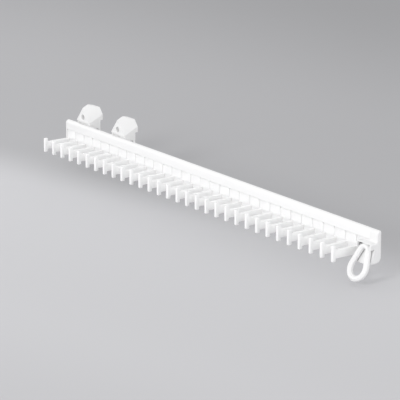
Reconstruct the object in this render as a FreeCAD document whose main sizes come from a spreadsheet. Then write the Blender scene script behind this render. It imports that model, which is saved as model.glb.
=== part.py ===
"""Pull-out tie rack: a sliding rail with a row of hooks, carried by two wall brackets.

The rail slides along X on the T-shaped runners of the two brackets. Plus X is the pulled end, where a finger
ring hangs from the front cap. The wall is the plane Y = 0, the hooks point to minus Y, and the axis of both
screw holes is at Z = 0, with the origin half way between them. Lengths are in millimetres.
"""

import FreeCAD, Part
import enum
import math
import os
import Sketcher

HOOK_COUNT = 31

SIZES = {
    # hooks
    "pitch": 15.0,
    "first_hook": -53.0,
    "plate_gap": 0.4,
    "tongue_thick": 1.7,
    "tongue_fit": 0.1,
    "tongue_end": 0.2,
    "pad_proud": 0.8,
    "pad_height": 8.6,
    "pad_notch": 1.2,
    "hook_reach": 28.0,
    "blade_thick": 2.6,
    "blade_height": 7.6,
    "tip_depth": 3.6,
    "tip_rise": 3.4,
    "tip_fall": 2.8,
    "tip_round": 0.8,
    "throat_round": 2.0,
    # rail section
    "face_stand": 20.8,
    "rail_height": 28.7,
    "strip_height": 9.2,
    "strip_thick": 5.2,
    "brow_round": 3.0,
    "strip_round": 2.0,
    "strip_gap": 0.3,
    "front_lip": 1.5,
    "slot_rise": 2.5,
    "lower_lip": 2.6,
    "slot_floor": 1.4,
    "web_thick": 2.0,
    "channel_depth": 3.5,
    "channel_height": 14.8,
    "channel_drop": 13.7,
    "channel_wall": 1.6,
    "channel_mouth": 9.0,
    "back_lip": 1.5,
    "rail_lead": 0.1,
    "rail_tail": 18.5,
    # end caps
    "travel": 360.0,
    "stop_gap": 0.3,
    "plug_fit": 0.2,
    "rear_plate": 1.0,
    "cap_thick": 9.0,
    "cap_heel": 5.8,
    "cap_round": 1.6,
    "closing_plate": 2.0,
    "last_gap": 0.3,
    "nose_width": 17.8,
    "nose_proud": 7.6,
    "nose_gap": 0.2,
    "nose_drop": 10.2,
    "nose_round": 2.0,
    "ring_slot": 15.5,
    "pin_drop": 3.7,
    "pin_setback": 3.2,
    "pin_cover": 0.5,
    "pin_recess": 0.2,
    "pin_fit": 0.02,
    "ear_drop": 2.0,
    # finger ring
    "pin_across": 2.6,
    "ring_bar": 5.0,
    "ring_crown": 5.2,
    "ring_bow": 9.4,
    "ring_edge": 1.46,
    "ring_span": 14.4,
    "ring_lean": 25.0,
    "ring_rest_gap": 0.5,
    "bore_fit": 0.06,
    "crown_room": 0.5,
    # wall brackets
    "bracket_spacing": 61.0,
    "head_width": 22.6,
    "head_depth": 16.0,
    "head_drop": 4.6,
    "head_clear": 1.7,
    "roof_height": 14.2,
    "roof_rise": 7.7,
    "peak_stand": 10.2,
    "peak_fall": 3.0,
    "chin_gap": 0.6,
    "pad_drop": 2.6,
    "screw_hole": 5.5,
    "bracket_gap": 2.85,
    "bracket_neck": 2.4,
    "neck_tail": 1.3,
    "runner_fit": 0.2,
    "stem_fit": 0.3,
}

# Places worked out from the sizes, in the sheet's names. Y is along the depth and Z is up.
RAIL_TOP = "-(Sizes.head_drop + Sizes.head_clear)"
RAIL_LOW = f"({RAIL_TOP} - Sizes.rail_height)"
STRIP_LOW = f"({RAIL_TOP} - Sizes.strip_height)"
SLOT_TOP = f"({STRIP_LOW} + Sizes.slot_rise)"
SLOT_LOW = f"({RAIL_LOW} + Sizes.slot_floor)"
LIP_TOP = f"({RAIL_LOW} + Sizes.lower_lip)"
STRIP_FRONT = "-Sizes.face_stand"
STRIP_BACK = f"({STRIP_FRONT} + Sizes.strip_thick)"
SLOT_FRONT = f"({STRIP_FRONT} + Sizes.front_lip)"
SLOT_BACK = f"({SLOT_FRONT} + Sizes.tongue_thick + 2 * Sizes.tongue_fit)"
WEB_BACK = f"({SLOT_BACK} + Sizes.web_thick)"
BACK_LIP_FRONT = f"({WEB_BACK} + Sizes.channel_depth)"
RAIL_BACK = f"({BACK_LIP_FRONT} + Sizes.back_lip)"
CHANNEL_MIDDLE = f"({RAIL_TOP} - Sizes.channel_drop)"
CHANNEL_TOP = f"({CHANNEL_MIDDLE} + Sizes.channel_height / 2)"
CHANNEL_LOW = f"({CHANNEL_MIDDLE} - Sizes.channel_height / 2)"
MOUTH_TOP = f"({CHANNEL_MIDDLE} + Sizes.channel_mouth / 2)"
MOUTH_LOW = f"({CHANNEL_MIDDLE} - Sizes.channel_mouth / 2)"
FLANGE_TOP = f"({CHANNEL_TOP} + Sizes.channel_wall)"
FLANGE_LOW = f"({CHANNEL_LOW} - Sizes.channel_wall)"
TONGUE_FRONT = f"({SLOT_FRONT} + Sizes.tongue_fit)"
TONGUE_BACK = f"({TONGUE_FRONT} + Sizes.tongue_thick)"
TONGUE_TOP = f"({SLOT_TOP} - Sizes.tongue_end)"
TONGUE_LOW = f"({SLOT_LOW} + Sizes.tongue_end)"
PAD_FRONT = f"({TONGUE_FRONT} - Sizes.pad_proud)"
PAD_TOP = f"({STRIP_LOW} - Sizes.strip_gap)"
RIDGE = f"({PAD_TOP} - Sizes.pad_height)"
BLADE_LOW = f"({RIDGE} - Sizes.blade_height)"
TIP_FRONT = f"({PAD_FRONT} - Sizes.hook_reach)"
THROAT = f"({TIP_FRONT} + Sizes.tip_depth)"
RAIL_START = "(Sizes.first_hook - Sizes.rail_lead)"
LAST_HOOK = f"(Sizes.first_hook + Sizes.pitch * {HOOK_COUNT - 1})"
RAIL_END = f"({LAST_HOOK} + Sizes.rail_tail)"
RUNNER_END = "(Sizes.bracket_spacing / 2 + Sizes.head_width / 2)"
NOSE_FRONT = f"({STRIP_FRONT} - Sizes.nose_proud)"
NOSE_BACK = f"({STRIP_FRONT} - Sizes.nose_gap)"
NOSE_TOP = f"({RAIL_TOP} - Sizes.nose_drop)"
NOSE_LEFT = "(Sizes.cap_thick - Sizes.nose_width)"
NOSE_MIDDLE = "(Sizes.cap_thick - Sizes.nose_width / 2)"
PIN_Y = f"({NOSE_FRONT} + Sizes.pin_setback)"
PIN_Z = f"({NOSE_TOP} - Sizes.pin_drop)"
EAR_LOW = f"({PIN_Z} - Sizes.ear_drop)"
LEAN_SLOPE = "tan(Sizes.ring_lean * 1deg)"
RING_BACK = "((Sizes.ring_bar / 2 + Sizes.ring_rest_gap) / cos(Sizes.ring_lean * 1deg))"
HEAD_LOW = "-Sizes.head_drop"
NECK_BACK = "-Sizes.bracket_gap"
NECK_FRONT = f"({NECK_BACK} - Sizes.bracket_neck)"


class At(enum.IntEnum):
    """Axes and points of a sketch, as its constraints number them."""

    UPRIGHT_AXIS = -2
    LEVEL_AXIS = -1
    START = 1
    END = 2
    CENTRE = 3


doc = FreeCAD.newDocument("tie_rack")
sheet = doc.addObject("Spreadsheet::Sheet", "Sizes")
for row, (alias, size) in enumerate(SIZES.items(), start=1):
    sheet.set(f"A{row}", alias)
    sheet.set(f"B{row}", str(size))
    sheet.setAlias(f"B{row}", alias)
doc.recompute()

sub_parts = []


def new_body(label, x=None, y=None, z=None):
    """A body with its own label, placed by the sheet where an axis is given."""
    body = doc.addObject("PartDesign::Body", label)
    body.Label = label
    for axis, place in (("x", x), ("y", y), ("z", z)):
        if place is not None:
            body.setExpression(f"Placement.Base.{axis}", place)
    sub_parts.append(body)
    return body


def attach(body, name, role, offset=None):
    """An empty sketch on one of the body's own origin planes, moved along its normal by offset."""
    sketch = body.newObject("Sketcher::SketchObject", name)
    plane = next(item for item in body.Origin.OriginFeatures if item.Role == role)
    sketch.AttachmentSupport = [(plane, "")]
    sketch.MapMode = "FlatFace"
    if offset is not None:
        sketch.setExpression("AttachmentOffset.Base.z", offset)
    return sketch


def pin_point(sketch, geometry, point, across, up):
    """Hold a point of the sketch at a place in the sheet's names, where "0" is on the sketch's axis."""
    for kind, axis, place in (("DistanceX", At.UPRIGHT_AXIS, across), ("DistanceY", At.LEVEL_AXIS, up)):
        if place == "0":
            sketch.addConstraint(Sketcher.Constraint("PointOnObject", geometry, point, axis))
            continue
        index = sketch.addConstraint(Sketcher.Constraint(kind, geometry, point, 1.0))
        sketch.setExpression(f"Constraints[{index}]", place)


def set_radius(sketch, geometry, radius):
    """Bind a circle's or an arc's radius to the sheet."""
    index = sketch.addConstraint(Sketcher.Constraint("Radius", geometry, 1.0))
    sketch.setExpression(f"Constraints[{index}]", radius)


def outline(body, name, role, corners, offset=None):
    """A closed outline of straight lines. Its corners start on a circle and the sheet moves them."""
    sketch = attach(body, name, role, offset)
    count = len(corners)
    turn = 2 * math.pi / count
    start = [FreeCAD.Vector(math.cos(turn * k), math.sin(turn * k), 0) for k in range(count)]
    for k in range(count):
        sketch.addGeometry(Part.LineSegment(start[k], start[(k + 1) % count]), False)
    for k in range(count):
        sketch.addConstraint(Sketcher.Constraint("Coincident", k, At.END, (k + 1) % count, At.START))
    for k, (across, up) in enumerate(corners):
        pin_point(sketch, k, At.START, across, up)
    return sketch


def rectangle(body, name, role, low, high, offset=None):
    """A closed rectangle between two corners."""
    (left, bottom), (right, top) = low, high
    corners = [(left, bottom), (right, bottom), (right, top), (left, top)]
    return outline(body, name, role, corners, offset)


def circle(body, name, role, radius, across, up, offset=None):
    """A circle about a point."""
    sketch = attach(body, name, role, offset)
    sketch.addGeometry(Part.Circle(FreeCAD.Vector(0, 0, 0), FreeCAD.Vector(0, 0, 1), 1.0), False)
    pin_point(sketch, 0, At.CENTRE, across, up)
    set_radius(sketch, 0, radius)
    return sketch


def extrude(body, kind, sketch, length, middle=False, back=False):
    """A pad or a pocket of a sketch, with its length from the sheet."""
    feature = body.newObject(f"PartDesign::{kind}", f"{sketch.Name}_{kind.lower()}")
    feature.Profile = sketch
    if middle:
        feature.SideType = "Symmetric"
    feature.Reversed = back
    feature.setExpression("Length", length)
    doc.recompute()
    return feature


def pad(body, sketch, length, middle=False, back=False):
    """A pad along the sketch's normal."""
    return extrude(body, "Pad", sketch, length, middle, back)


def cut(body, sketch, length, middle=False, back=False):
    """A pocket against the sketch's normal, which has to take material away."""
    before = body.Shape.Volume
    feature = extrude(body, "Pocket", sketch, length, middle, back)
    if not body.Shape.Volume < before:
        raise RuntimeError(f"{feature.Name} cuts nothing")
    return feature


def corner_edges(shape, sketch, corners, tolerance=0.001):
    """Names of the straight edges that stand square to the sketch on the given corners of its outline."""
    normal = sketch.Placement.Rotation.multVec(FreeCAD.Vector(0, 0, 1))
    spots = [sketch.Placement.multVec(sketch.Geometry[k].StartPoint) for k in corners]
    names = []
    for number, edge in enumerate(shape.Edges, start=1):
        if len(edge.Vertexes) != 2:
            continue
        ends = [vertex.Point for vertex in edge.Vertexes]
        for spot in spots:
            if all((end - spot).cross(normal).Length < tolerance for end in ends):
                names.append(f"Edge{number}")
                break
    if len(names) < len(corners):
        raise RuntimeError(f"{sketch.Name} has {len(names)} edges for {len(corners)} corners")
    return names


def ease(body, sketch, corners, radius):
    """A fillet on the edges that stand on the given corners of a sketch."""
    base = body.Tip
    names = corner_edges(base.Shape, sketch, corners)
    feature = body.newObject("PartDesign::Fillet", f"{sketch.Name}_fillet_{len(body.Group)}")
    feature.Base = (base, names)
    feature.setExpression("Radius", radius)
    doc.recompute()
    return feature


def make_rail():
    """The extruded rail: top strip, the seat for the hooks' plates, and the C-channel at the back."""
    body = new_body("rail", x=RAIL_START)
    corners = [
        (STRIP_FRONT, RAIL_TOP),
        (STRIP_BACK, RAIL_TOP),
        (STRIP_BACK, FLANGE_TOP),
        (RAIL_BACK, FLANGE_TOP),
        (RAIL_BACK, MOUTH_TOP),
        (BACK_LIP_FRONT, MOUTH_TOP),
        (BACK_LIP_FRONT, CHANNEL_TOP),
        (WEB_BACK, CHANNEL_TOP),
        (WEB_BACK, CHANNEL_LOW),
        (BACK_LIP_FRONT, CHANNEL_LOW),
        (BACK_LIP_FRONT, MOUTH_LOW),
        (RAIL_BACK, MOUTH_LOW),
        (RAIL_BACK, FLANGE_LOW),
        (WEB_BACK, FLANGE_LOW),
        (WEB_BACK, RAIL_LOW),
        (STRIP_FRONT, RAIL_LOW),
        (STRIP_FRONT, LIP_TOP),
        (SLOT_FRONT, LIP_TOP),
        (SLOT_FRONT, SLOT_LOW),
        (SLOT_BACK, SLOT_LOW),
        (SLOT_BACK, SLOT_TOP),
        (SLOT_FRONT, SLOT_TOP),
        (SLOT_FRONT, STRIP_LOW),
        (STRIP_FRONT, STRIP_LOW),
    ]
    section = outline(body, "rail_section", "YZ_Plane", corners)
    pad(body, section, f"{RAIL_END} - {RAIL_START}")
    ease(body, section, [0], "Sizes.brow_round")
    ease(body, section, [1], "Sizes.strip_round")


def make_hook(number):
    """One hook: a plate that slides into the rail's seat, with a raised pad and a thin blade to the tip."""
    label = f"hook_{number:02d}"
    body = new_body(label, x=f"Sizes.first_hook + Sizes.pitch * {number - 1}")
    width = "(Sizes.pitch - Sizes.plate_gap)"
    low, high = (TONGUE_FRONT, TONGUE_LOW), (TONGUE_BACK, TONGUE_TOP)
    plate = rectangle(body, f"{label}_plate", "YZ_Plane", low, high)
    pad(body, plate, width)

    # The raised pad is cut off at its upper left corner.
    face = [
        ("0", RIDGE),
        (width, RIDGE),
        (width, PAD_TOP),
        ("Sizes.pad_notch", PAD_TOP),
        ("0", f"({PAD_TOP} - Sizes.pad_notch)"),
    ]
    raised = outline(body, f"{label}_pad", "XZ_Plane", face, offset=f"-{TONGUE_FRONT}")
    pad(body, raised, "Sizes.pad_proud")

    tip_top = f"({RIDGE} + Sizes.tip_rise)"
    tip_low = f"({BLADE_LOW} - Sizes.tip_fall)"
    profile = [
        (TONGUE_FRONT, RIDGE),
        (THROAT, RIDGE),
        (THROAT, tip_top),
        (TIP_FRONT, tip_top),
        (TIP_FRONT, tip_low),
        (THROAT, tip_low),
        (THROAT, BLADE_LOW),
        (TONGUE_FRONT, BLADE_LOW),
    ]
    blade = outline(body, f"{label}_blade", "YZ_Plane", profile)
    pad(body, blade, "Sizes.blade_thick")
    throat, tip_front_top, tip_front_low = 1, 3, 4
    ease(body, blade, [throat], "Sizes.throat_round")
    ease(body, blade, [tip_front_top, tip_front_low], "Sizes.tip_round")


def channel_plug(body, name, length, back):
    """A block in the rail's channel that stops a runner."""
    low = (f"({WEB_BACK} + Sizes.plug_fit)", f"({CHANNEL_LOW} + Sizes.plug_fit)")
    high = (f"({BACK_LIP_FRONT} - Sizes.plug_fit)", f"({CHANNEL_TOP} - Sizes.plug_fit)")
    sketch = rectangle(body, name, "YZ_Plane", low, high)
    pad(body, sketch, length, back=back)


def make_rear_cap():
    """A thin plate that closes the rail's rear end, with a plug that stops the rear runner."""
    body = new_body("rear_end_cap", x=RAIL_START)
    corners = [
        (STRIP_FRONT, RAIL_TOP),
        (STRIP_BACK, RAIL_TOP),
        (STRIP_BACK, FLANGE_TOP),
        (RAIL_BACK, FLANGE_TOP),
        (RAIL_BACK, FLANGE_LOW),
        (WEB_BACK, FLANGE_LOW),
        (WEB_BACK, RAIL_LOW),
        (STRIP_FRONT, RAIL_LOW),
    ]
    plate = outline(body, "rear_cap_plate", "YZ_Plane", corners)
    pad(body, plate, "Sizes.rear_plate", back=True)
    ease(body, plate, [0], "Sizes.brow_round")
    ease(body, plate, [1], "Sizes.strip_round")
    channel_plug(body, "rear_cap_plug", f"-{RUNNER_END} - Sizes.stop_gap - {RAIL_START}", back=False)


def plane_edges(shape, direction, places, tolerance=0.001):
    """Names of the edges that lie in planes square to a direction, at the given places along it."""
    names = []
    for number, edge in enumerate(shape.Edges, start=1):
        heights = [vertex.Point.dot(direction) for vertex in edge.Vertexes]
        if any(all(abs(height - place) < tolerance for height in heights) for place in places):
            names.append(f"Edge{number}")
    return names


def make_front_cap():
    """The front cap: end block, hollowed nose with ears for the pin, and the tongues in the rail's end."""
    body = new_body("front_end_cap", x=RAIL_END)
    corners = [
        (STRIP_FRONT, RAIL_TOP),
        (STRIP_BACK, RAIL_TOP),
        (STRIP_BACK, RAIL_LOW),
        (NOSE_FRONT, RAIL_LOW),
        (NOSE_FRONT, NOSE_TOP),
        (STRIP_FRONT, NOSE_TOP),
    ]
    block = outline(body, "cap_block", "YZ_Plane", corners)
    pad(body, block, "Sizes.cap_thick")
    low, high = (NOSE_FRONT, RAIL_LOW), (NOSE_BACK, NOSE_TOP)
    nose = rectangle(body, "cap_nose", "YZ_Plane", low, high)
    pad(body, nose, "Sizes.nose_width - Sizes.cap_thick", back=True)
    brow, back, heel, nose_edge, nose_root = 0, 1, 2, 4, 5
    ease(body, block, [brow], "Sizes.brow_round")
    ease(body, block, [back], "Sizes.strip_round")
    ease(body, block, [heel], "Sizes.cap_heel")
    ease(body, block, [nose_edge, nose_root], "Sizes.nose_round")
    base = body.Tip
    rim = body.newObject("PartDesign::Fillet", "cap_rim")
    rim.Base = (base, plane_edges(base.Shape, FreeCAD.Vector(1, 0, 0), [sheet.cap_thick]))
    rim.setExpression("Radius", "Sizes.cap_round")
    doc.recompute()

    low, high = (STRIP_BACK, FLANGE_LOW), (RAIL_BACK, FLANGE_TOP)
    closing = rectangle(body, "cap_closing", "YZ_Plane", low, high)
    pad(body, closing, "Sizes.closing_plate")
    free_end = f"{RAIL_END} - {RUNNER_END} - Sizes.stop_gap - Sizes.travel"
    channel_plug(body, "front_cap_plug", free_end, back=True)
    low, high = (TONGUE_FRONT, TONGUE_LOW), (TONGUE_BACK, TONGUE_TOP)
    tongue = rectangle(body, "cap_tongue", "YZ_Plane", low, high)
    tongue_length = "Sizes.rail_tail - Sizes.pitch + Sizes.plate_gap - Sizes.last_gap"
    pad(body, tongue, tongue_length, back=True)
    low, high = (PAD_FRONT, RIDGE), (TONGUE_FRONT, PAD_TOP)
    flush = rectangle(body, "cap_flush_pad", "YZ_Plane", low, high)
    pad(body, flush, tongue_length, back=True)

    # The ring's top turns between two ears, and a slanted hollow below them gives room for its legs.
    half_slot = "Sizes.ring_slot / 2"
    room = "(Sizes.ring_bar / 2 + Sizes.crown_room)"
    low = (f"({NOSE_MIDDLE} - {half_slot})", EAR_LOW)
    high = (f"({NOSE_MIDDLE} + {half_slot})", f"({PIN_Z} + {room})")
    slot = rectangle(body, "ring_slot", "XZ_Plane", low, high, offset=f"-{NOSE_FRONT}")
    cut(body, slot, f"{PIN_Y} + {room} - {NOSE_FRONT}")
    hollow_depth = f"({PIN_Y} - Sizes.ear_drop * {LEAN_SLOPE} + {RING_BACK})"
    hollow_drop = f"(({PIN_Y} + {RING_BACK} - {NOSE_FRONT}) / {LEAN_SLOPE})"
    corners = [(NOSE_FRONT, EAR_LOW), (hollow_depth, EAR_LOW), (NOSE_FRONT, f"({PIN_Z} - {hollow_drop})")]
    hollow = outline(body, "nose_hollow", "YZ_Plane", corners, offset=NOSE_LEFT)
    cut(body, hollow, "Sizes.nose_width", back=True)
    radius = "(Sizes.pin_across / 2 + Sizes.pin_fit)"
    bore = circle(body, "pin_hole", "YZ_Plane", radius, PIN_Y, PIN_Z, offset=NOSE_LEFT)
    cut(body, bore, "Sizes.nose_width - Sizes.pin_cover", back=True)


def make_pin():
    """The ring's pin, pushed in from the hook side of the nose."""
    body = new_body("ring_pin", x=f"{RAIL_END} + {NOSE_LEFT} + Sizes.pin_recess", y=PIN_Y, z=PIN_Z)
    section = circle(body, "pin_section", "YZ_Plane", "Sizes.pin_across / 2", "0", "0")
    pad(body, section, "Sizes.nose_width - Sizes.pin_cover - 2 * Sizes.pin_recess")


def egg(body, name, side):
    """The ring's egg outline, half a bar outside (side 1) or inside (side -1) its middle line."""
    sketch = attach(body, name, "XZ_Plane")
    normal = FreeCAD.Vector(0, 0, 1)
    offset = side * sheet.ring_bar / 2
    taper = math.asin((sheet.ring_bow - sheet.ring_crown) / sheet.ring_span)
    top = FreeCAD.Vector(0, -sheet.ring_crown, 0)
    low = top - FreeCAD.Vector(0, sheet.ring_span, 0)
    crown_circle = Part.Circle(top, normal, sheet.ring_crown + offset)
    bow_circle = Part.Circle(low, normal, sheet.ring_bow + offset)
    crown = Part.ArcOfCircle(crown_circle, taper, math.pi - taper)
    bow = Part.ArcOfCircle(bow_circle, math.pi - taper, 2 * math.pi + taper)
    left_leg = Part.LineSegment(crown.EndPoint, bow.StartPoint)
    right_leg = Part.LineSegment(bow.EndPoint, crown.StartPoint)
    loop = [crown, left_leg, bow, right_leg]
    for line in loop:
        sketch.addGeometry(line, False)
    for k in range(len(loop)):
        sketch.addConstraint(Sketcher.Constraint("Tangent", k, At.END, (k + 1) % len(loop), At.START))
    low_centre = "-(Sizes.ring_crown + Sizes.ring_span)"
    for line, radius, centre in ((crown, "ring_crown", "-Sizes.ring_crown"), (bow, "ring_bow", low_centre)):
        pin_point(sketch, loop.index(line), At.CENTRE, "0", centre)
        set_radius(sketch, loop.index(line), f"Sizes.{radius} + {side} * Sizes.ring_bar / 2")
    return sketch


def make_ring():
    """The finger ring: an egg-shaped loop of eight-sided bar, bored for the pin at its top."""
    body = new_body("pull_ring")
    place = f"{RAIL_END} + {NOSE_MIDDLE}; {PIN_Y}; {PIN_Z}"
    body.setExpression("Placement", f"placement(vector({place}); rotation(0; 0; -Sizes.ring_lean))")
    pad(body, egg(body, "ring_outside", 1), "Sizes.ring_bar", middle=True)
    cut(body, egg(body, "ring_inside", -1), "Sizes.ring_bar", middle=True)
    base = body.Tip
    sides = [sheet.ring_bar / 2, -sheet.ring_bar / 2]
    rim = body.newObject("PartDesign::Chamfer", "ring_rim")
    rim.Base = (base, plane_edges(base.Shape, FreeCAD.Vector(0, 1, 0), sides))
    rim.setExpression("Size", "Sizes.ring_edge")
    doc.recompute()
    bore = circle(body, "ring_bore", "YZ_Plane", "Sizes.pin_across / 2 + Sizes.bore_fit", "0", "0")
    cut(body, bore, "Sizes.ring_slot", middle=True)


def make_bracket(label, side):
    """A wall bracket: a faceted head with the screw hole, a thin neck, and a T-shaped runner."""
    body = new_body(label, x=f"{side} * Sizes.bracket_spacing / 2")
    front = "-Sizes.head_depth"
    stem_top = f"({MOUTH_TOP} - Sizes.stem_fit)"
    stem_low = f"({MOUTH_LOW} + Sizes.stem_fit)"
    runner_back = f"({BACK_LIP_FRONT} - Sizes.runner_fit)"
    neck_low = f"({stem_low} - Sizes.neck_tail)"
    chin_low = f"({FLANGE_TOP} + Sizes.chin_gap)"
    chin_front = f"({STRIP_BACK} + Sizes.chin_gap)"
    corners = [
        (front, HEAD_LOW),
        ("0", f"({HEAD_LOW} + Sizes.roof_rise)"),
        ("0", "-Sizes.pad_drop"),
        (NECK_BACK, "-Sizes.pad_drop"),
        (NECK_BACK, neck_low),
        (NECK_FRONT, neck_low),
        (NECK_FRONT, chin_low),
        (chin_front, chin_low),
        (chin_front, HEAD_LOW),
    ]
    cheek = outline(body, f"{label}_cheek", "YZ_Plane", corners)
    pad(body, cheek, "Sizes.head_width", middle=True)

    half = "Sizes.head_width / 2"
    gables = []
    for name, rise, offset in (("front", "0", "Sizes.head_depth"), ("wall", "Sizes.roof_rise", "0")):
        base = f"({HEAD_LOW} + {rise})"
        corners = [(f"-{half}", base), (half, base), ("0", f"({base} + Sizes.roof_height)")]
        gables.append(outline(body, f"{label}_gable_{name}", "XZ_Plane", corners, offset=offset))
    doc.recompute()
    roof = body.newObject("PartDesign::AdditiveLoft", f"{label}_roof")
    roof.Profile = gables[0]
    roof.Sections = [gables[1]]
    roof.Ruled = True
    doc.recompute()

    # A sloping cut lowers the ridge from its peak to the wall.
    peak_share = "(1 - Sizes.peak_stand / Sizes.head_depth)"
    peak = f"({HEAD_LOW} + Sizes.roof_height + Sizes.roof_rise * {peak_share})"
    slope_front = f"({peak} + Sizes.peak_fall * Sizes.head_depth / Sizes.peak_stand - Sizes.peak_fall)"
    slope_back = f"({peak} - Sizes.peak_fall)"
    sky = f"({peak} + Sizes.roof_height)"
    corners = [(front, slope_front), ("0", slope_back), ("0", sky), (front, sky)]
    slope = outline(body, f"{label}_slope", "YZ_Plane", corners)
    cut(body, slope, "Sizes.head_width", middle=True)
    screw = circle(body, f"{label}_screw", "XZ_Plane", "Sizes.screw_hole / 2", "0", "0")
    cut(body, screw, "2 * Sizes.head_depth", middle=True)

    low, high = (runner_back, stem_low), (NECK_FRONT, stem_top)
    stem = rectangle(body, f"{label}_stem", "YZ_Plane", low, high)
    pad(body, stem, "Sizes.head_width", middle=True)
    low = (f"({WEB_BACK} + Sizes.runner_fit)", f"({CHANNEL_LOW} + Sizes.runner_fit)")
    high = (runner_back, f"({CHANNEL_TOP} - Sizes.runner_fit)")
    runner = rectangle(body, f"{label}_runner", "YZ_Plane", low, high)
    pad(body, runner, "Sizes.head_width", middle=True)


def check_all():
    """Stop where an object failed or a sub-part has no sound shape."""
    for item in doc.Objects:
        if "Invalid" in item.State or "Error" in item.State:
            raise RuntimeError(f"{item.Name} did not build: {item.State}")
    for part in sub_parts:
        if part.Shape.isNull() or not part.Shape.isValid():
            raise RuntimeError(f"{part.Label} has no sound shape")


make_rail()
for hook in range(1, HOOK_COUNT + 1):
    make_hook(hook)
make_rear_cap()
make_front_cap()
make_pin()
make_ring()
make_bracket("rear_bracket", "-1")
make_bracket("front_bracket", "1")
doc.recompute()
check_all()

os.makedirs("parts", exist_ok=True)
for part in sub_parts:
    part.Shape.exportStep(f"parts/{part.Label}.step")
    print(part.Label, len(part.Shape.Solids), round(part.Shape.Volume, 1))
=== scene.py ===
"""Looks of the pull-out tie rack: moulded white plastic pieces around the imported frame, in a pale studio."""

import enum
import logging
import math
from dataclasses import dataclass

import bpy
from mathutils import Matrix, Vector


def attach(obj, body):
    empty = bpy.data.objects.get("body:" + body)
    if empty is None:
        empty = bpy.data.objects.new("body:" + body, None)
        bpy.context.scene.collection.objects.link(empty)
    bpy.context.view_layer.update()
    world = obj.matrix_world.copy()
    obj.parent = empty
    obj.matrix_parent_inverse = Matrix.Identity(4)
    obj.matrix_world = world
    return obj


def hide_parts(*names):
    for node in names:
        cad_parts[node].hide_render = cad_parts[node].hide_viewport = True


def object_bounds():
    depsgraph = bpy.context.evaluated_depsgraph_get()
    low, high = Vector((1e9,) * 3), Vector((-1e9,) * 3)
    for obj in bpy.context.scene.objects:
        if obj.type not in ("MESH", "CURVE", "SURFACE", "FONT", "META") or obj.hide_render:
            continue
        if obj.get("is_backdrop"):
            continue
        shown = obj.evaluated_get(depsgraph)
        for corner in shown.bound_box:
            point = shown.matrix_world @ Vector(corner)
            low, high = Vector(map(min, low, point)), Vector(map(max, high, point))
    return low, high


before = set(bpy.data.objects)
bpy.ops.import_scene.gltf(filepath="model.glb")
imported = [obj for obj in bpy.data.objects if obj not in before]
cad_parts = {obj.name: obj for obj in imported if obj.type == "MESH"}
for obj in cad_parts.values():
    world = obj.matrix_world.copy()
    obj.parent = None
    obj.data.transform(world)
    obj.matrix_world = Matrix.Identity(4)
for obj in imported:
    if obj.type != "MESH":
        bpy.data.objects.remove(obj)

LOG = logging.getLogger("tie_rack")
MM = 0.001

# How light goes into the plastic, and how deep it wanders there.
PLASTIC_IOR = 1.49
GLOW_DEPTH = 2.5 * MM

# The faint patches in a finish's colour and the fine marks in its gloss and height.
GRAINS_PER_PATCH = 40
PATCH_DETAIL = 4.0
MARK_DETAIL = 3.0
MARK_STRENGTH = 0.35

# Points closer than this are one point, and faces that bend less than this many degrees are one flat.
WELD_GAP = 0.002 * MM
FLAT_ANGLE = 0.5

Colour = tuple[float, float, float]
Point = tuple[float, float, float]


class Grain(enum.Enum):
    """How a surface was made, with how fast its fine marks change along X, Y and Z."""

    MOULDED = (1.0, 1.0, 1.0)
    EXTRUDED = (0.02, 1.0, 1.0)
    TURNED = (1.0, 0.05, 0.05)


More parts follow.
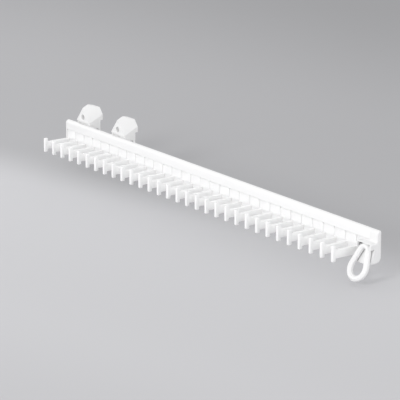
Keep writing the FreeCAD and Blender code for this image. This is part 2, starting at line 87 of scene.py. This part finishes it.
@dataclass(frozen=True)
class Finish:
    """A plastic or metal finish with fine marks in its colour, gloss and height.

    Args:
        name: The material's name.
        slot: The record's material slot that it dresses; not used.
        light: Colour of the clean surface, linear.
        shade: Colour of the faint patches, linear.
        gloss: Lowest and highest roughness.
        grain: How the surface was made.
        grain_size: Size of the fine marks, in metres.
        grain_depth: Height of the fine marks, in metres.
        metal: Metallic value.
        glow: Weight of the light that wanders below the surface.
    """

    name: str
    slot: str
    light: Colour
    shade: Colour
    gloss: tuple[float, float]
    grain: Grain
    grain_size: float
    grain_depth: float
    metal: float = 0.0
    glow: float = 0.0

    def material(self) -> bpy.types.Material:
        """The finish as a node material, made once.

        Returns:
            The material.
        """
        made = bpy.data.materials.get(self.name)
        if made is not None:
            return made
        made = bpy.data.materials.new(self.name)
        made.use_nodes = True
        tree = made.node_tree
        shader = tree.nodes["Principled BSDF"]
        shader.inputs["Metallic"].default_value = self.metal
        shader.inputs["IOR"].default_value = PLASTIC_IOR
        shader.inputs["Subsurface Weight"].default_value = self.glow
        shader.inputs["Subsurface Radius"].default_value = (GLOW_DEPTH, GLOW_DEPTH, GLOW_DEPTH)
        shader.inputs["Subsurface Scale"].default_value = 1.0

        place = tree.nodes.new("ShaderNodeTexCoord")
        stretch = tree.nodes.new("ShaderNodeMapping")
        stretch.inputs["Scale"].default_value = self.grain.value
        tree.links.new(place.outputs["Object"], stretch.inputs["Vector"])
        self.add_patches(tree, stretch, shader)
        self.add_marks(tree, stretch, shader)
        return made

    def add_patches(self, tree: bpy.types.NodeTree, stretch: bpy.types.Node, shader: bpy.types.Node) -> None:
        """Give the colour its faint patches.

        Args:
            tree: The material's node tree.
            stretch: The node that gives the stretched place on the piece.
            shader: The surface shader.
        """
        patches = tree.nodes.new("ShaderNodeTexNoise")
        patches.inputs["Scale"].default_value = 1.0 / (GRAINS_PER_PATCH * self.grain_size)
        patches.inputs["Detail"].default_value = PATCH_DETAIL
        tree.links.new(stretch.outputs["Vector"], patches.inputs["Vector"])
        tint = tree.nodes.new("ShaderNodeMix")
        tint.data_type = "RGBA"
        tint.inputs["A"].default_value = (*self.light, 1.0)
        tint.inputs["B"].default_value = (*self.shade, 1.0)
        tree.links.new(patches.outputs["Fac"], tint.inputs["Factor"])
        tree.links.new(tint.outputs["Result"], shader.inputs["Base Color"])

    def add_marks(self, tree: bpy.types.NodeTree, stretch: bpy.types.Node, shader: bpy.types.Node) -> None:
        """Give the gloss and the height their fine marks.

        Args:
            tree: The material's node tree.
            stretch: The node that gives the stretched place on the piece.
            shader: The surface shader.
        """
        marks = tree.nodes.new("ShaderNodeTexNoise")
        marks.inputs["Scale"].default_value = 1.0 / self.grain_size
        marks.inputs["Detail"].default_value = MARK_DETAIL
        tree.links.new(stretch.outputs["Vector"], marks.inputs["Vector"])
        gloss = tree.nodes.new("ShaderNodeMapRange")
        gloss.inputs["To Min"].default_value, gloss.inputs["To Max"].default_value = self.gloss
        tree.links.new(marks.outputs["Fac"], gloss.inputs["Value"])
        tree.links.new(gloss.outputs["Result"], shader.inputs["Roughness"])

        bump = tree.nodes.new("ShaderNodeBump")
        bump.inputs["Strength"].default_value = MARK_STRENGTH
        bump.inputs["Distance"].default_value = self.grain_depth
        tree.links.new(marks.outputs["Fac"], bump.inputs["Height"])
        tree.links.new(bump.outputs["Normal"], shader.inputs["Normal"])


RAIL_FINISH = Finish(
    name="extruded_white", slot="rail_white", light=(0.885, 0.885, 0.88), shade=(0.85, 0.85, 0.845),
    gloss=(0.28, 0.36), grain=Grain.EXTRUDED, grain_size=0.6 * MM, grain_depth=0.02 * MM, glow=0.08)
# The hooks' white is a little lighter than the rail's: painted light that lifts the shade between the blades.
HOOK_FINISH = Finish(
    name="moulded_white_hook", slot="hook_white", light=(0.9, 0.9, 0.895), shade=(0.87, 0.87, 0.865),
    gloss=(0.3, 0.4), grain=Grain.MOULDED, grain_size=0.5 * MM, grain_depth=0.02 * MM, glow=0.7)
CAP_FINISH = Finish(
    name="moulded_white_cap", slot="cap_white", light=(0.86, 0.86, 0.855), shade=(0.825, 0.825, 0.82),
    gloss=(0.32, 0.42), grain=Grain.MOULDED, grain_size=0.5 * MM, grain_depth=0.03 * MM, glow=0.08)
RING_FINISH = Finish(
    name="moulded_white_ring", slot="ring_white", light=(0.865, 0.865, 0.86), shade=(0.83, 0.83, 0.825),
    gloss=(0.25, 0.33), grain=Grain.MOULDED, grain_size=0.5 * MM, grain_depth=0.02 * MM, glow=0.1)
BRACKET_FINISH = Finish(
    name="moulded_white_bracket", slot="bracket_white", light=(0.825, 0.825, 0.82), shade=(0.79, 0.79, 0.785),
    gloss=(0.34, 0.44), grain=Grain.MOULDED, grain_size=0.5 * MM, grain_depth=0.03 * MM, glow=0.08)
PIN_FINISH = Finish(
    name="bright_steel_pin", slot="pin_steel", light=(0.56, 0.56, 0.57), shade=(0.5, 0.5, 0.51),
    gloss=(0.25, 0.4), grain=Grain.TURNED, grain_size=0.2 * MM, grain_depth=0.01 * MM, metal=1.0)


@dataclass(frozen=True)
class SoftEdge:
    """The small round that moulding leaves on every edge.

    Args:
        width: Width of the round, in metres.
        segments: Flats across the round.
        angle: Edges sharper than this are rounded, in degrees.
    """

    width: float
    segments: int = 3
    angle: float = 32.0

    def moulded(self, node: str, body: str, finish: Finish) -> bpy.types.Object:
        """A moulded piece with rounded edges that stands for a node of the frame.

        Args:
            node: Name of the node.
            body: Name of the body that carries it.
            finish: Its finish.

        Returns:
            The new piece.
        """
        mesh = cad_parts[node].data.copy()
        mesh.name = f"{node}_moulding"
        piece = bpy.data.objects.new(f"{node}_moulding", mesh)
        bpy.context.scene.collection.objects.link(piece)
        mesh.materials.clear()
        mesh.materials.append(finish.material())
        for polygon in mesh.polygons:
            polygon.use_smooth = True
        self.round_off(piece)
        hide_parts(node)
        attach(piece, body)
        LOG.info("piece %s on body %s", piece.name, body)
        return piece

    def round_off(self, piece: bpy.types.Object) -> None:
        """Join the piece's triangles to flats and round the edges between them.

        Args:
            piece: The piece.
        """
        weld = piece.modifiers.new("weld", "WELD")
        weld.merge_threshold = WELD_GAP
        flats = piece.modifiers.new("flats", "DECIMATE")
        flats.decimate_type = "DISSOLVE"
        flats.angle_limit = math.radians(FLAT_ANGLE)
        bevel = piece.modifiers.new("edge_round", "BEVEL")
        bevel.width = self.width
        bevel.segments = self.segments
        bevel.limit_method = "ANGLE"
        bevel.angle_limit = math.radians(self.angle)
        bevel.harden_normals = True
        bevel.use_clamp_overlap = True


@dataclass
class SlidingRail:
    """The extruded rail and the two caps that close it.

    Args:
        rail_edge: Round on the rail's edges.
        cap_edge: Round on the edges of the front cap.
        lip_edge: Round on the edges of the thin cap at the wall end.
    """

    rail_edge: SoftEdge = SoftEdge(0.4 * MM)
    cap_edge: SoftEdge = SoftEdge(0.5 * MM)
    lip_edge: SoftEdge = SoftEdge(0.3 * MM)

    def build(self) -> list[bpy.types.Object]:
        """The rail and its end caps.

        Returns:
            The pieces.
        """
        return [
            self.rail_edge.moulded("rail", "rack", RAIL_FINISH),
            self.lip_edge.moulded("rear_end_cap", "rack", CAP_FINISH),
            self.cap_edge.moulded("front_end_cap", "rack", CAP_FINISH),
        ]


@dataclass
class HookRow:
    """The row of tie hooks in the rail's front seat.

    Args:
        count: Number of hooks.
        edge: Round on a hook's edges. A wider one would meet itself on the thin blade and tear the mesh.
    """

    count: int = 31
    edge: SoftEdge = SoftEdge(0.36 * MM, segments=2)

    def build(self) -> list[bpy.types.Object]:
        """All the hooks, one by one.

        Returns:
            The pieces.
        """
        names = [f"hook_{number:02d}" for number in range(1, self.count + 1)]
        return [self.edge.moulded(name, "rack", HOOK_FINISH) for name in names]


@dataclass
class FingerPull:
    """The finger ring and the pin that it swings on.

    Args:
        edge: Round on the ring's bar, wide enough to make its eight sides look round.
        pin_edge: Round on the pin's ends.
    """

    edge: SoftEdge = SoftEdge(0.95 * MM, segments=5)
    pin_edge: SoftEdge = SoftEdge(0.2 * MM)

    def build(self) -> list[bpy.types.Object]:
        """The ring and its pin.

        Returns:
            The pieces.
        """
        return [
            self.edge.moulded("pull_ring", "ring", RING_FINISH),
            self.pin_edge.moulded("ring_pin", "rack", PIN_FINISH),
        ]


@dataclass
class WallBrackets:
    """The two faceted wall brackets.

    Args:
        edge: Round on a bracket's edges.
    """

    edge: SoftEdge = SoftEdge(0.6 * MM)

    def build(self) -> list[bpy.types.Object]:
        """Both brackets.

        Returns:
            The pieces.
        """
        names = ("rear_bracket", "front_bracket")
        return [self.edge.moulded(name, "brackets", BRACKET_FINISH) for name in names]


@dataclass
class Studio:
    """The pale floor with its painted shade and painted falloff of light, the soft light and the camera.

    Args:
        floor_drop: Gap between the object's lowest point and the floor, in metres.
        floor_reach: How far the floor goes to each side, in metres.
        floor_behind: The direction across the floor, away from the hooks' tips, that its grey changes along.
        floor_shade_tones: Distance from the origin in that direction, in metres, and the floor's linear grey
            there, painted lighter in front of the hooks and darker behind the rail as the rail's painted
            shadow.
        floor_right: The direction across the floor that its grey falls off along, as a painted falloff of the
            light.
        floor_right_span: Distance in that direction where the fall starts and ends, in metres.
        floor_light_falloff: Share of the grey at the start and at the end of the painted falloff of the light.
        paper_blue: How much bluer than grey the floor's paper is.
        paper_roughness: Its roughness.
        paper_specular: Its specular level.
        lamp_place: Where the lamp stands, in metres.
        lamp_target: The point that it faces.
        lamp_size: Its side, in metres.
        lamp_power: Its power, in watts.
        world_colour: Colour of the light from all around.
        world_strength: Strength of that light, level with the object and straight above.
        camera_place: Where the camera stands, in metres.
        camera_look: The direction that it faces.
        camera_far: The farthest that it sees, in metres.
        focal_pixels: Its focal length in pixels of the photograph.
        image_pixels: Width of the photograph.
        sensor: Width of its sensor, in millimetres.
    """

    floor_drop: float = 4.0 * MM
    floor_reach: float = 12.0
    floor_behind: tuple[float, float] = (-0.24, 0.971)
    # Painted light and shade: the floor's grey is lighter in front of the hooks and darker behind the rail,
    # where the rail's shadow is painted.
    floor_shade_tones: tuple[tuple[float, float], ...] = (
        (-0.55, 0.56), (-0.35, 0.61), (-0.09, 0.64), (0.02, 0.475), (0.3, 0.475), (0.9, 0.39))
    floor_right: tuple[float, float] = (0.587, 0.81)
    floor_right_span: tuple[float, float] = (-0.115, 0.285)
    # Painted falloff of the light towards the right.
    floor_light_falloff: tuple[float, float] = (1.02, 0.94)
    paper_blue: float = 1.02
    paper_roughness: float = 0.9
    paper_specular: float = 0.1
    lamp_place: Point = (2.07, -4.73, 2.09)
    lamp_target: Point = (0.2, 0.0, -0.02)
    lamp_size: float = 1.5
    lamp_power: float = 98.0
    world_colour: Colour = (0.9, 0.9, 0.91)
    world_strength: tuple[float, float] = (1.53, 0.69)
    camera_place: Point = (1.8222, -1.2159, 0.5430)
    camera_look: Point = (-0.778775, 0.56435, -0.27389)
    camera_far: float = 50.0
    focal_pixels: float = 2300.0
    image_pixels: float = 400.0
    sensor: float = 36.0

    def build(self) -> None:
        """Set up the floor, the light and the camera."""
        self.add_floor()
        self.add_lamp()
        self.add_world()
        self.add_camera()

    def add_floor(self) -> None:
        """A wide pale floor just below the object."""
        low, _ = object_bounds()
        height, reach = low[2] - self.floor_drop, self.floor_reach
        corners = ((-reach, -reach), (reach, -reach), (reach, reach), (-reach, reach))
        mesh = bpy.data.meshes.new("studio_floor")
        mesh.from_pydata([(*corner, height) for corner in corners], [], [(0, 1, 2, 3)])
        floor = bpy.data.objects.new("studio_floor", mesh)
        bpy.context.scene.collection.objects.link(floor)
        mesh.materials.append(self.floor_paper())
        floor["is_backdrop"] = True

    def share_along(
        self, tree: bpy.types.NodeTree, way: tuple[float, float], start: float, end: float
    ) -> bpy.types.Node:
        """How far a point of the floor has come from one distance to another in some direction.

        Args:
            tree: The node tree of the floor's material.
            way: The direction across the floor.
            start: Distance from the origin where the share is 0, in metres.
            end: Distance where it is 1.

        Returns:
            The node whose result is the share.
        """
        place = tree.nodes.new("ShaderNodeTexCoord")
        distance = tree.nodes.new("ShaderNodeVectorMath")
        distance.operation = "DOT_PRODUCT"
        distance.inputs[1].default_value = Vector((*way, 0.0)).normalized()
        tree.links.new(place.outputs["Object"], distance.inputs[0])
        share = tree.nodes.new("ShaderNodeMapRange")
        share.inputs["From Min"].default_value = start
        share.inputs["From Max"].default_value = end
        tree.links.new(distance.outputs["Value"], share.inputs["Value"])
        return share

    def floor_paper(self) -> bpy.types.Material:
        """Matt paper with painted light and shade: lighter in front of the hooks, darker behind the rail as
        the rail's painted shadow, and a painted falloff of the light to the right.

        Returns:
            The material.
        """
        paper = bpy.data.materials.new("studio_paper")
        paper.use_nodes = True
        tree = paper.node_tree
        shader = tree.nodes["Principled BSDF"]
        shader.inputs["Roughness"].default_value = self.paper_roughness
        shader.inputs["Specular IOR Level"].default_value = self.paper_specular

        # Painted shade: the grey darkens behind the rail, where the rail's shadow is painted.
        nearest, farthest = self.floor_shade_tones[0][0], self.floor_shade_tones[-1][0]
        share = self.share_along(tree, self.floor_behind, nearest, farthest)
        shade_ramp = tree.nodes.new("ShaderNodeValToRGB")
        shade_ramp.color_ramp.interpolation = "EASE"
        # The ramp comes with its first and its last stop.
        stops = shade_ramp.color_ramp.elements
        for distance, _ in self.floor_shade_tones[1:-1]:
            stops.new((distance - nearest) / (farthest - nearest))
        for stop, (_, grey) in zip(stops, self.floor_shade_tones):
            stop.color = (grey, grey, grey * self.paper_blue, 1.0)
        tree.links.new(share.outputs["Result"], shade_ramp.inputs["Fac"])

        # Painted falloff of the light towards the right.
        light_falloff = self.share_along(tree, self.floor_right, *self.floor_right_span)
        light_falloff.inputs["To Min"].default_value, light_falloff.inputs["To Max"].default_value = self.floor_light_falloff
        shaded_grey = tree.nodes.new("ShaderNodeVectorMath")
        shaded_grey.operation = "SCALE"
        tree.links.new(shade_ramp.outputs["Color"], shaded_grey.inputs[0])
        tree.links.new(light_falloff.outputs["Result"], shaded_grey.inputs["Scale"])
        tree.links.new(shaded_grey.outputs["Vector"], shader.inputs["Base Color"])
        return paper

    def add_lamp(self) -> None:
        """A square soft lamp in front of the hooks, a little to the right."""
        light = bpy.data.lights.new("front_lamp", "AREA")
        light.size = self.lamp_size
        light.energy = self.lamp_power
        lamp = bpy.data.objects.new("front_lamp", light)
        lamp.location = self.lamp_place
        way = Vector(self.lamp_target) - Vector(self.lamp_place)
        lamp.rotation_euler = way.to_track_quat("-Z", "Y").to_euler()
        bpy.context.scene.collection.objects.link(lamp)

    def add_world(self) -> None:
        """Light from all around that is strongest near the level of the object."""
        world = bpy.data.worlds.new("studio_air")
        world.use_nodes = True
        nodes, links = world.node_tree.nodes, world.node_tree.links
        background = nodes["Background"]
        background.inputs["Color"].default_value = (*self.world_colour, 1.0)
        place = nodes.new("ShaderNodeTexCoord")
        split = nodes.new("ShaderNodeSeparateXYZ")
        links.new(place.outputs["Generated"], split.inputs["Vector"])
        strength = nodes.new("ShaderNodeMapRange")
        strength.inputs["To Min"].default_value, strength.inputs["To Max"].default_value = self.world_strength
        links.new(split.outputs["Z"], strength.inputs["Value"])
        links.new(strength.outputs["Result"], background.inputs["Strength"])
        bpy.context.scene.world = world

    def add_camera(self) -> None:
        """A long lens at the photograph's angle."""
        lens = bpy.data.cameras.new("photo_camera")
        lens.sensor_width = self.sensor
        lens.lens = self.focal_pixels / self.image_pixels * self.sensor
        lens.clip_end = self.camera_far
        camera = bpy.data.objects.new("photo_camera", lens)
        camera.location = self.camera_place
        camera.rotation_euler = Vector(self.camera_look).to_track_quat("-Z", "Y").to_euler()
        bpy.context.scene.collection.objects.link(camera)
        bpy.context.scene.camera = camera


def main() -> None:
    """Build every sub-assembly and the studio."""
    logging.basicConfig(level=logging.INFO, format="%(name)s: %(message)s")
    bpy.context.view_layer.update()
    bpy.context.scene.view_settings.view_transform = "Standard"
    pieces: list[bpy.types.Object] = []
    for assembly in (SlidingRail(), HookRow(), FingerPull(), WallBrackets()):
        made = assembly.build()
        LOG.info("%s has %d pieces", type(assembly).__name__, len(made))
        pieces.extend(made)
    Studio().build()
    LOG.info("%d pieces in all", len(pieces))


if __name__ == "__main__":
    main()
